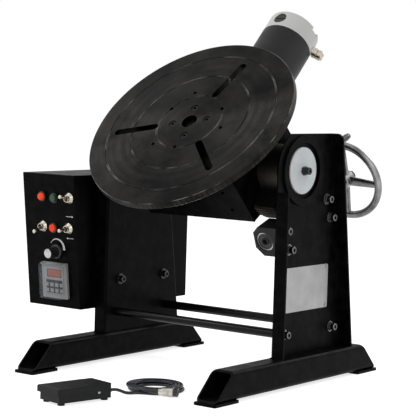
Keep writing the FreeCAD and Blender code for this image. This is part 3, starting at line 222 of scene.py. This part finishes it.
def metal(name, color, roughness=0.3, streak=(1, 1, 1), bump=0.2, stain=0.85, edge=None):
    """Bare or plated metal with machining streaks and a little tarnish; given an edge colour, it
    gets painted highlights on its edges.
    """
    m = Maker(name)
    streaks = m.noise(400, 2, streak)
    cloud = m.noise(30, 4)
    base = m.mix(m.ramp(cloud, 0.35, 0.7, 0, 1), tinted(color, stain), tinted(color, 1.05))
    # Painted highlight: convex edges turn toward the given edge colour.
    if edge:
        geometry = m.add("ShaderNodeNewGeometry")
        painted_edge_highlight = m.ramp(geometry.outputs["Pointiness"], 0.52, 0.6, 0, 1)
        base = m.mix(painted_edge_highlight, base, edge)
    m.link(base, m.shader.inputs["Base Color"])
    m.link(m.ramp(streaks, 0.3, 0.7, roughness - 0.07, roughness + 0.1),
           m.shader.inputs["Roughness"])
    m.bumped(streaks, bump, 0.00004, 0.0004)
    m.set(Metallic=1.0)
    return m.material


def plastic(name, color, roughness=0.45, grain=0.15, specular=0.4, glow=0.0, **more):
    """Moulded plastic or rubber with a fine spark-eroded grain."""
    m = Maker(name)
    base = m.mix(m.ramp(m.noise(25, 3), 0.3, 0.7, 0, 1), tinted(color, 0.88),
                 tinted(color, 1.08))
    m.link(base, m.shader.inputs["Base Color"])
    m.link(m.ramp(m.noise(120, 3), 0.3, 0.7, roughness - 0.05, roughness + 0.06),
           m.shader.inputs["Roughness"])
    m.bumped(m.noise(1400, 2), grain, 0.00005, 0.0004)
    m.set(Specular_IOR_Level=specular, Emission_Strength=glow, **more)
    m.shader.inputs["Emission Color"].default_value = (*color, 1.0)
    return m.material


def turned_steel(name):
    """Face-turned steel: fine rings about the faceplate's axis, and painted highlight lines, in
    patches, along the groove edges and the rim.
    """
    m = Maker(name)
    axis = Vector((0, -math.sin(TILT), math.cos(TILT)))
    radius, around = m.radius_about(PIVOT + axis * PLATE_TOP, axis)

    def rings(scale, detail):
        node = m.add("ShaderNodeTexNoise", noise_dimensions="1D")
        node.inputs["Scale"].default_value = scale
        node.inputs["Detail"].default_value = detail
        m.link(radius, node.inputs["W"])
        return node.outputs["Fac"]

    bands = m.ramp(rings(110, 5), 0.3, 0.7, 0, 1)
    cloud = m.ramp(m.noise(14, 6, roughness=0.65), 0.35, 0.68, 0, 1)
    shade = m.math("MULTIPLY", m.ramp(bands, 0, 1, 0.55, 1), cloud)
    base = m.mix(shade, (0.002, 0.002, 0.002), (0.027, 0.0253, 0.0235))
    # Painted highlights: light lines at both edges of every groove and along the rim, broken into
    # patches by a noise.
    bright = None
    for place in [g + side * 0.001 for g in GROOVES for side in (-1, 1)] + [PLATE_R - 0.0006]:
        line = m.line_at(radius, place, 0.0006)
        bright = line if bright is None else m.math("MAXIMUM", bright, line)
    highlight_patches = m.ramp(m.noise(22, 4), 0.45, 0.62, 0.05, 0.7)
    base = m.mix(m.math("MULTIPLY", bright, highlight_patches), base, (0.26, 0.25, 0.235))
    m.link(base, m.shader.inputs["Base Color"])
    fine = rings(1500, 3)
    m.link(m.ramp(fine, 0.3, 0.7, 0.28, 0.44), m.shader.inputs["Roughness"])
    m.bumped(fine, 0.25, 0.00006, 0.0005)
    m.link(around, m.shader.inputs["Tangent"])
    m.set(Metallic=1.0, Anisotropic=0.9)
    return m.material


def sealed_bearing(name):
    """Ball bearing seen end on: bright outer race, dark seal, dull inner race, and painted shade
    in the bore.
    """
    m = Maker(name)
    radius, _ = m.radius_about(WORM_CENTRE, WORM_AXIS)
    outer = m.ramp(radius, 0.0150, 0.0153, 0, 1)
    inner = m.ramp(radius, 0.0098, 0.0101, 1, 0)
    # Painted shade: the bore is coloured near black.
    bore = m.ramp(radius, 0.0050, 0.0053, 1, 0)
    cloud = m.ramp(m.noise(80, 3), 0.3, 0.7, 0, 1)
    seal = m.mix(cloud, (0.008, 0.008, 0.008), (0.018, 0.018, 0.018))
    race = m.mix(cloud, (0.42, 0.42, 0.40), (0.6, 0.6, 0.58))
    base = m.mix(outer, seal, race)
    base = m.mix(inner, base, (0.06, 0.06, 0.06))
    base = m.mix(bore, base, (0.002, 0.002, 0.002))
    m.link(base, m.shader.inputs["Base Color"])
    m.link(outer, m.shader.inputs["Metallic"])
    m.link(m.ramp(cloud, 0, 1, 0.3, 0.42), m.shader.inputs["Roughness"])
    m.bumped(m.noise(900, 2), 0.15, 0.00003, 0.0004)
    return m.material


def drilled_shaft(name, shaft):
    """Shaft steel, darker on its free front end face, with painted shade for a centre hole in it.
    """
    m = Maker(name)
    front = min(v.co.dot(WORM_AXIS) for v in shaft.data.vertices)
    at_end = m.ramp(m.along(WORM_AXIS), front + 0.0004, front + 0.0008, 1, 0)
    radius, _ = m.radius_about(WORM_CENTRE, WORM_AXIS)
    # Painted shade: a near-black disc stands for the centre hole.
    hole = m.ramp(radius, 0.0046, 0.0052, 1, 0)
    cloud = m.ramp(m.noise(60, 4), 0.3, 0.7, 0, 1)
    base = m.mix(cloud, (0.13, 0.13, 0.13), (0.22, 0.22, 0.22))
    base = m.mix(at_end, base, (0.03, 0.03, 0.03))
    base = m.mix(m.math("MULTIPLY", at_end, hole), base, (0.0015, 0.0015, 0.0015))
    m.link(base, m.shader.inputs["Base Color"])
    m.link(m.ramp(cloud, 0, 1, 0.3, 0.42), m.shader.inputs["Roughness"])
    m.bumped(m.noise(900, 2), 0.15, 0.00003, 0.0004)
    m.set(Metallic=1.0)
    return m.material


def plug_metal(name):
    """Nickel shell, with the plug's nose in black plastic."""
    m = Maker(name)
    start = PLUG_FOOT.dot(PLUG_AXIS) + 0.0257
    nose = m.ramp(m.along(PLUG_AXIS), start, start + 0.0003, 0, 1)
    cloud = m.ramp(m.noise(90, 4), 0.35, 0.7, 0, 1)
    base = m.mix(cloud, (0.34, 0.32, 0.29), (0.6, 0.57, 0.52))
    m.link(m.mix(nose, base, (0.008, 0.008, 0.008)), m.shader.inputs["Base Color"])
    m.link(m.ramp(nose, 0, 1, 1, 0), m.shader.inputs["Metallic"])
    m.link(m.ramp(cloud, 0, 1, 0.2, 0.32), m.shader.inputs["Roughness"])
    m.bumped(m.noise(700, 2), 0.15, 0.00003, 0.0004)
    return m.material


def clear(name):
    m = Maker(name)
    m.link(m.ramp(m.noise(50, 3), 0.3, 0.7, 0.04, 0.14), m.shader.inputs["Roughness"])
    m.bumped(m.noise(40, 2), 0.05, 0.0002, 0.0004)
    m.set(Base_Color=(0.62, 0.65, 0.67, 1), IOR=1.45, Alpha=0.06, Specular_IOR_Level=0.25)
    return m.material


BLACK = (0.001, 0.001, 0.0011)
materials = {
    "black_paint": paint("black_paint", BLACK, 0.4, 0.03, wear_and_highlight=0.1),
    "bearing_steel": metal("bearing_steel", (0.3, 0.3, 0.3), 0.3),
    "zinc_screws": metal("black_oxide_screws", (0.05, 0.05, 0.052), 0.3),
    "white_nylon": plastic("white_nylon", (0.74, 0.75, 0.76), 0.5, Subsurface_Weight=0.1),
    "grey_casting": paint("grey_casting", (0.022, 0.022, 0.023), 0.5, 0.25, peel=0.9),
    "gear_steel": metal("gear_steel", (0.045, 0.042, 0.039), 0.48),
    "shaft_steel": metal("shaft_steel", (0.2, 0.2, 0.2), 0.35, (40, 40, 1)),
    "bronze": metal("bronze", (0.32, 0.2, 0.08), 0.35),
    "polished_steel": metal("cast_steel", (0.3, 0.3, 0.3), 0.3, bump=0.3, stain=0.45),
    "plate_steel": turned_steel("turned_steel"),
    "motor_paint": paint("motor_paint", (0.0085, 0.0087, 0.0095), 0.5, 0.25, peel=0.6),
    "ivory_cap": paint("ivory_cap", (0.68, 0.68, 0.67), 0.35, 0.4),
    "black_plastic": plastic("black_plastic", (0.009, 0.009, 0.009), 0.4),
    "nickel": metal("nickel", (0.55, 0.5, 0.42), 0.2, bump=0.1),
    "plate_aluminium": metal("plate_aluminium", (0.33, 0.33, 0.335), 0.34, (1, 1, 60), stain=0.86),
    "lamp_lens": plastic("lamp_lens", (0.85, 0.055, 0.006), 0.25, specular=0.25, glow=0.3),
    "green_button": plastic("green_button", (0.01, 0.075, 0.03), 0.35),
    # The red button's glow is a painted glow.
    "red_button": plastic("red_button", (0.85, 0.055, 0.006), 0.3, specular=0.25, glow=0.25),
    "knob_plastic": plastic("knob_plastic", (0.009, 0.009, 0.009), 0.35),
    "meter_plastic": plastic("meter_plastic", (0.31, 0.315, 0.32), 0.5),
    "clear_cover": clear("clear_cover"),
    "pedal_grey": paint("pedal_grey", (0.0065, 0.007, 0.008), 0.45, 0.18, peel=1.0),
    "cord_rubber": plastic("cord_rubber", (0.003, 0.0042, 0.0085), 0.38, grain=0.3, specular=0.4),
}
# The light edges on these washers and screw heads are a painted highlight.
black_screws = metal("black_washers", (0.04, 0.04, 0.042), 0.22, edge=(0.13, 0.13, 0.13))
dark_steel = metal("dark_steel", (0.075, 0.075, 0.08), 0.3)
white_print = plastic("white_print", (0.75, 0.75, 0.75), 0.5)
display_red = plastic("display_red", (0.2, 0.05, 0.04), 0.3)
digit_red = plastic("digit_red", (0.6, 0.13, 0.08), 0.4, glow=0.3)
button_field = plastic("button_field", (0.012, 0.012, 0.013), 0.5, specular=0.2)
silver_cap = metal("silver_cap", (0.5, 0.5, 0.51), 0.3, stain=0.7)

slot_of = {part["node"]: part["material_slot"] for part in frame["record"]["subparts"]}
for name, node in nodes.items():
    node.data.materials.clear()
    node.data.materials.append(materials[slot_of[name]])
repaint = {
    "tie_rods": paint("rod_paint", (0.0022, 0.0022, 0.0022), 0.3, 0.16),
    "bearing_housings": materials["black_paint"],
    "leg_screws": black_screws,
    "worm_bearings": sealed_bearing("sealed_bearing"),
    "faceplate_screws": metal("dark_screws", (0.018, 0.018, 0.018), 0.3),
    "plug_barrel": plug_metal("plug_metal"),
    "worm_shaft": drilled_shaft("drilled_shaft", nodes["worm_shaft"]),
    "handwheel_grip": dark_steel,
    "grip_pin": dark_steel,
}
for name, material in repaint.items():
    nodes[name].data.materials[0] = material


# ---------------------------------------------------------------- mesh helpers
def finish_piece(piece, body, material, smooth=True):
    piece.data.materials.clear()
    piece.data.materials.append(material)
    if smooth and piece.type == "MESH":
        piece.data.shade_smooth()
        piece.data.set_sharp_from_angle(angle=math.radians(35))
    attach(piece, body)
    return piece


def piece_from(name, mesh_builder, place=Matrix()):
    """New object from a bmesh, put in its place in the row frame."""
    mesh = bpy.data.meshes.new(name)
    mesh_builder.transform(place)
    mesh_builder.to_mesh(mesh)
    mesh_builder.free()
    piece = bpy.data.objects.new(name, mesh)
    bpy.context.scene.collection.objects.link(piece)
    return piece


def lathe(bm, profile, steps=48, offset=Matrix()):
    """Adds a turned form from (radius, height) points, closed where radius is 0."""
    rings = []
    for radius, height in profile:
        if radius < 1e-7:
            rings.append([bm.verts.new(offset @ Vector((0, 0, height)))])
            continue
        rings.append([bm.verts.new(offset @ Vector((radius * math.cos(a), radius * math.sin(a),
                                                    height)))
                      for a in (2 * math.pi * i / steps for i in range(steps))])
    for low, high in zip(rings, rings[1:]):
        for i in range(steps):
            j = (i + 1) % steps
            corners = [low[i % len(low)], low[j % len(low)], high[j % len(high)],
                       high[i % len(high)]]
            unique = [v for k, v in enumerate(corners) if v not in corners[:k]]
            if len(unique) > 2:
                bm.faces.new(unique)


def slab(bm, outline, low, high):
    """Adds a flat plate from an outline of (x, y) points between two heights."""
    bottom = [bm.verts.new((x, y, low)) for x, y in outline]
    top = [bm.verts.new((x, y, high)) for x, y in outline]
    bm.faces.new(list(reversed(bottom)))
    bm.faces.new(top)
    for i in range(len(outline)):
        j = (i + 1) % len(outline)
        bm.faces.new((bottom[i], bottom[j], top[j], top[i]))


# ---------------------------------------------------------------- panel print
def panel_print():
    """White arrows beside the direction switch, and the speed knob's tapered arc."""
    bm = bmesh.new()
    half = 9 * MM
    for x, z, turn in ARROWS:
        place = panel_frame(x, z)
        arrow = bmesh.new()
        neck = half - 4 * MM
        outline = [(-half, -0.55 * MM), (neck, -0.55 * MM), (neck, -1.9 * MM), (half, 0),
                   (neck, 1.9 * MM), (neck, 0.55 * MM), (-half, 0.55 * MM)]
        slab(arrow, outline, 0.02 * MM, 0.12 * MM)
        arrow.transform(place @ Matrix.Rotation(turn, 4, "Z"))
        mesh = bpy.data.meshes.new("arrow")
        arrow.to_mesh(mesh)
        arrow.free()
        bm.from_mesh(mesh)
    arc = bmesh.new()
    steps = 40
    outer = []
    inner = []
    for i in range(steps + 1):
        share = i / steps
        angle = math.radians(150 - 158 * share)
        wide = (0.8 + 4.6 * share) * MM
        radius = 17.6 * MM
        outer.append(((radius + wide / 2) * math.cos(angle),
                      (radius + wide / 2) * math.sin(angle)))
        inner.append(((radius - wide / 2) * math.cos(angle),
                      (radius - wide / 2) * math.sin(angle)))
    slab(arc, outer + inner[::-1], 0.02 * MM, 0.12 * MM)
    arc.transform(panel_frame(*ARC_PLACE))
    mesh = bpy.data.meshes.new("arc")
    arc.to_mesh(mesh)
    arc.free()
    bm.from_mesh(mesh)
    bmesh.ops.recalc_face_normals(bm, faces=bm.faces)
    finish_piece(piece_from("panel_print", bm), "frame", white_print, smooth=False)


SEGMENTS = {"0": "abcdef", "5": "afgcd"}


def meter_display():
    """Red window with four plain seven-segment figures."""
    place = panel_frame(*METER_PLACE)
    bm = bmesh.new()
    slab(bm, [(-17.8 * MM, 6.2 * MM), (17.8 * MM, 6.2 * MM), (17.8 * MM, 21.8 * MM),
              (-17.8 * MM, 21.8 * MM)], 5.02 * MM, 5.4 * MM)
    finish_piece(piece_from("meter_window", bm, place), "frame", display_red, smooth=False)
    field = bmesh.new()
    slab(field, [(-20 * MM, -24 * MM), (20 * MM, -24 * MM), (20 * MM, 1 * MM),
                 (-20 * MM, 1 * MM)], 6.02 * MM, 6.2 * MM)
    finish_piece(piece_from("button_field", field, place), "frame", button_field, smooth=False)
    digits = bmesh.new()
    wide, tall, thick = 2.2 * MM, 4.4 * MM, 0.55 * MM
    strokes = {"a": (0, tall, 1), "g": (0, 0, 1), "d": (0, -tall, 1), "f": (-wide, tall / 2, 0),
               "b": (wide, tall / 2, 0), "e": (-wide, -tall / 2, 0), "c": (wide, -tall / 2, 0)}
    for column, figure in enumerate("0050"):
        x0 = (-12 + 8 * column) * MM
        for name in SEGMENTS[figure]:
            x, y, flat = strokes[name]
            half_x, half_y = (wide - thick / 2, thick) if flat else (thick, tall / 2 - 1.1 * thick)
            cx, cy = x0 + x, 14 * MM + y
            slab(digits, [(cx - half_x, cy - half_y), (cx + half_x, cy - half_y),
                          (cx + half_x, cy + half_y), (cx - half_x, cy + half_y)],
                 5.42 * MM, 5.6 * MM)
    finish_piece(piece_from("meter_digits", digits, place), "frame", digit_red, smooth=False)


def knob_detail():
    """Bright cap on the speed knob."""
    bm = bmesh.new()
    lathe(bm, [(0, KNOB_TOP + 0.5 * MM), (7.8 * MM, KNOB_TOP + 0.5 * MM), (8.6 * MM, KNOB_TOP),
               (8.6 * MM, KNOB_TOP - 0.9 * MM), (0, KNOB_TOP - 0.9 * MM)])
    bmesh.ops.recalc_face_normals(bm, faces=bm.faces)
    finish_piece(piece_from("knob_cap", bm, panel_frame(*KNOB_PLACE)), "speed_knob",
                 silver_cap)


def plug_insert():
    """Dark contact insert with its pins, in the plug's mouth."""
    bm = bmesh.new()
    lathe(bm, [(0, 31.4 * MM), (5.3 * MM, 31.4 * MM), (5.4 * MM, 31.2 * MM),
               (5.4 * MM, 30.05 * MM), (0, 30.05 * MM)])
    for i in range(4):
        angle = math.radians(45 + 90 * i)
        place = Matrix.Translation((2.9 * MM * math.cos(angle), 2.9 * MM * math.sin(angle), 0))
        lathe(bm, [(0, 32.6 * MM), (0.5 * MM, 32.5 * MM), (0.6 * MM, 32.2 * MM),
                   (0.6 * MM, 31.3 * MM), (0, 31.3 * MM)], 12, place)
    bmesh.ops.recalc_face_normals(bm, faces=bm.faces)
    place = (Matrix.Translation(PLUG_FOOT) @ Matrix.Rotation(PLUG_TURN, 4, "Z")
             @ Matrix.Rotation(math.pi / 2, 4, "Y"))
    finish_piece(piece_from("plug_insert", bm, place), "frame", materials["black_plastic"])


# ---------------------------------------------------------------- welds
def weld_bead(name, points, body, radius=1.6 * MM):
    """Rippled bead along straight runs between points."""
    bm = bmesh.new()
    rng = random.Random(len(name) + 7)
    for start, end in zip(points, points[1:]):
        a, b = Vector(start), Vector(end)
        count = max(2, int((b - a).length / (1.7 * MM)))
        for i in range(count + 1):
            centre = a.lerp(b, i / count)
            size = radius * rng.uniform(0.85, 1.12)
            ball = Matrix.Translation(centre) @ Matrix.Scale(size, 4)
            bmesh.ops.create_icosphere(bm, subdivisions=1, radius=1.0, matrix=ball)
    return finish_piece(piece_from(name, bm), body, materials["black_paint"])


def leg_welds():
    low, high = (Vector(corner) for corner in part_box("legs"))
    lip = high.x - 0.5 * MM
    web = high.x - LEG_FLANGE
    for side, name in ((1, "right"), (-1, "left")):
        weld_bead(name + "_leg_weld",
                  [(side * lip, low.y, low.z), (side * web, low.y, low.z),
                   (side * web, high.y, low.z), (side * lip, high.y, low.z)], "frame")


# ---------------------------------------------------------------- control box screws
def cover_screws():
    """Pan-head screws around the control box's side cover."""
    low, high = (Vector(corner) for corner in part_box("control_box_cover"))
    inset = 9 * MM
    bm = bmesh.new()
    head = [(0, 1.5 * MM), (1.6 * MM, 1.35 * MM), (2.6 * MM, 0.7 * MM), (2.8 * MM, 0),
            (0, 0)]
    facing = Matrix.Rotation(-math.pi / 2, 4, "Y")
    for z in (low.z + inset, (low.z + high.z) / 2, high.z - inset):
        lean = (z - low.z) / (high.z - low.z)
        front = -0.088 + (low.y + 0.088) * lean
        for y in (front + inset, high.y - inset):
            lathe(bm, head, 20, Matrix.Translation((low.x, y, z)) @ facing)
    bmesh.ops.recalc_face_normals(bm, faces=bm.faces)
    finish_piece(piece_from("cover_screws", bm), "frame", black_screws)


# ---------------------------------------------------------------- cord
def pedal_cord():
    """One cord from the pedal's gland through the coil to the plug's boot."""
    ahead = Vector((-math.sin(PEDAL_TURN), math.cos(PEDAL_TURN), 0))
    across = Vector((math.cos(PEDAL_TURN), math.sin(PEDAL_TURN), 0))
    start = PEDAL_PLACE + across * 0.012 + ahead * 0.063
    points = [start, start + ahead * 0.010, Vector((0.0500, -0.2860, 0.0095)),
              Vector((0.0515, -0.2760, 0.0050)), Vector((0.0535, -0.2660, 0.003)),
              Vector((0.0580, -0.2565, 0.003))]
    outer, inner = 50.2 * MM, 33.0 * MM
    low, high = 2.95 * MM, 9.0 * MM
    first, last = math.radians(-80), math.radians(-64 + 360 * 6)
    steps = int((last - first) / (2 * math.pi) * 16)
    for i in range(steps + 1):
        share = i / steps
        angle = first + (last - first) * share
        swing = abs(2 * share - 1)
        radius = inner + (outer - inner) * swing
        climb = min(1, max(0, (share - 0.47) / 0.06))
        height = low + (high - low) * climb
        points.append(Vector((COIL_CENTRE.x + radius * math.cos(angle),
                              COIL_CENTRE.y + radius * math.sin(angle), height)))
    points[-1] = PLUG_FOOT - PLUG_AXIS * 0.024
    points.append(PLUG_FOOT - PLUG_AXIS * 0.017)
    curve = bpy.data.curves.new("pedal_cord_line", "CURVE")
    curve.dimensions = "3D"
    spline = curve.splines.new("NURBS")
    spline.points.add(len(points) - 1)
    for spot, point in zip(spline.points, points):
        spot.co = (*point, 1.0)
    spline.order_u = 3
    spline.use_endpoint_u = True
    spline.resolution_u = 6
    curve.bevel_depth = CORD_R
    curve.bevel_resolution = 4
    curve.use_fill_caps = True
    cord = bpy.data.objects.new("pedal_cord_line", curve)
    bpy.context.scene.collection.objects.link(cord)
    finish_piece(cord, "frame", materials["cord_rubber"])
    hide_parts("pedal_cord", "cord_coil")
    path = cord.data.copy()
    path.bevel_depth = 0
    probe = bpy.data.objects.new("probe", path)
    line = bpy.data.meshes.new_from_object(probe)
    bpy.data.objects.remove(probe)


panel_print()
meter_display()
knob_detail()
plug_insert()
leg_welds()
cover_screws()
pedal_cord()

for name, node in nodes.items():
    node.data.shade_smooth()
    node.data.set_sharp_from_angle(angle=math.radians(30))


# ---------------------------------------------------------------- camera and light
def look_from(location, azimuth, elevation, roll):
    """Camera matrix from its place, the side it stands on and its tilt."""
    right = Vector((math.cos(azimuth), math.sin(azimuth), 0))
    ahead = Vector((-math.sin(azimuth) * math.cos(elevation),
                    math.cos(azimuth) * math.cos(elevation), -math.sin(elevation)))
    up = right.cross(ahead)
    x_axis = right * math.cos(roll) + up * math.sin(roll)
    y_axis = up * math.cos(roll) - right * math.sin(roll)
    rotation = Matrix((x_axis, y_axis, -ahead)).transposed().to_4x4()
    return Matrix.Translation(location) @ rotation


def add_camera():
    data = bpy.data.cameras.new("camera")
    data.lens = 136.8
    data.sensor_width = 36
    data.shift_x = 0.0736
    data.shift_y = 0.0065
    data.clip_end = 30
    camera = bpy.data.objects.new("camera", data)
    bpy.context.scene.collection.objects.link(camera)
    camera.matrix_world = look_from(Vector((1.720, -2.2968, 0.5171)), math.radians(37.8),
                                    math.radians(4.45), math.radians(1.63))
    bpy.context.scene.camera = camera


def add_lamp(name, place, target, size, power):
    data = bpy.data.lights.new(name, "AREA")
    data.shape = "DISK"
    data.size = size
    data.energy = power
    lamp = bpy.data.objects.new(name, data)
    bpy.context.scene.collection.objects.link(lamp)
    lamp.location = place
    lamp.rotation_euler = (Vector(target) - Vector(place)).to_track_quat("-Z", "Y").to_euler()


def seen_rays(tree):
    """1 for rays that show the surroundings: to the camera, off metal and through glass."""
    path = tree.nodes.new("ShaderNodeLightPath")
    shown = path.outputs["Is Camera Ray"]
    for name in ("Is Glossy Ray", "Is Transmission Ray"):
        either = tree.nodes.new("ShaderNodeMath")
        either.operation = "MAXIMUM"
        tree.links.new(shown, either.inputs[0])
        tree.links.new(path.outputs[name], either.inputs[1])
        shown = either.outputs[0]
    return shown


def add_floor():
    """White floor: it glows for the camera, so that only a soft shadow is left on it."""
    bm = bmesh.new()
    bmesh.ops.create_grid(bm, x_segments=1, y_segments=1, size=40)
    floor = piece_from("floor", bm)
    material = bpy.data.materials.new("floor")
    material.use_nodes = True
    tree = material.node_tree
    shader = tree.nodes["Principled BSDF"]
    shader.inputs["Base Color"].default_value = (0.8, 0.8, 0.8, 1)
    shader.inputs["Roughness"].default_value = 0.9
    shader.inputs["Specular IOR Level"].default_value = 0.05
    shader.inputs["Emission Color"].default_value = (1, 1, 1, 1)
    glow = tree.nodes.new("ShaderNodeMath")
    glow.operation = "MULTIPLY"
    glow.inputs[1].default_value = 0.74
    tree.links.new(seen_rays(tree), glow.inputs[0])
    tree.links.new(glow.outputs[0], shader.inputs["Emission Strength"])
    floor.data.materials.append(material)


def add_world():
    world = bpy.data.worlds.new("studio")
    bpy.context.scene.world = world
    world.use_nodes = True
    tree = world.node_tree
    background = tree.nodes["Background"]
    background.inputs["Color"].default_value = (1, 1, 1, 1)
    seen = tree.nodes.new("ShaderNodeMath")
    seen.operation = "MULTIPLY_ADD"
    tree.links.new(seen_rays(tree), seen.inputs[0])
    seen.inputs[1].default_value = 0.65
    seen.inputs[2].default_value = 0.35
    tree.links.new(seen.outputs[0], background.inputs["Strength"])


add_floor()
add_world()
add_camera()
centre = (0, 0, 0.3)
add_lamp("key", (-1.6, -1.6, 2.4), centre, 1.6, 34)
add_lamp("fill", (2.4, -1.2, 1.4), centre, 1.8, 16)
add_lamp("rim", (0.6, 2.2, 2.0), centre, 1.2, 22)
bpy.context.scene.view_settings.view_transform = "Standard"
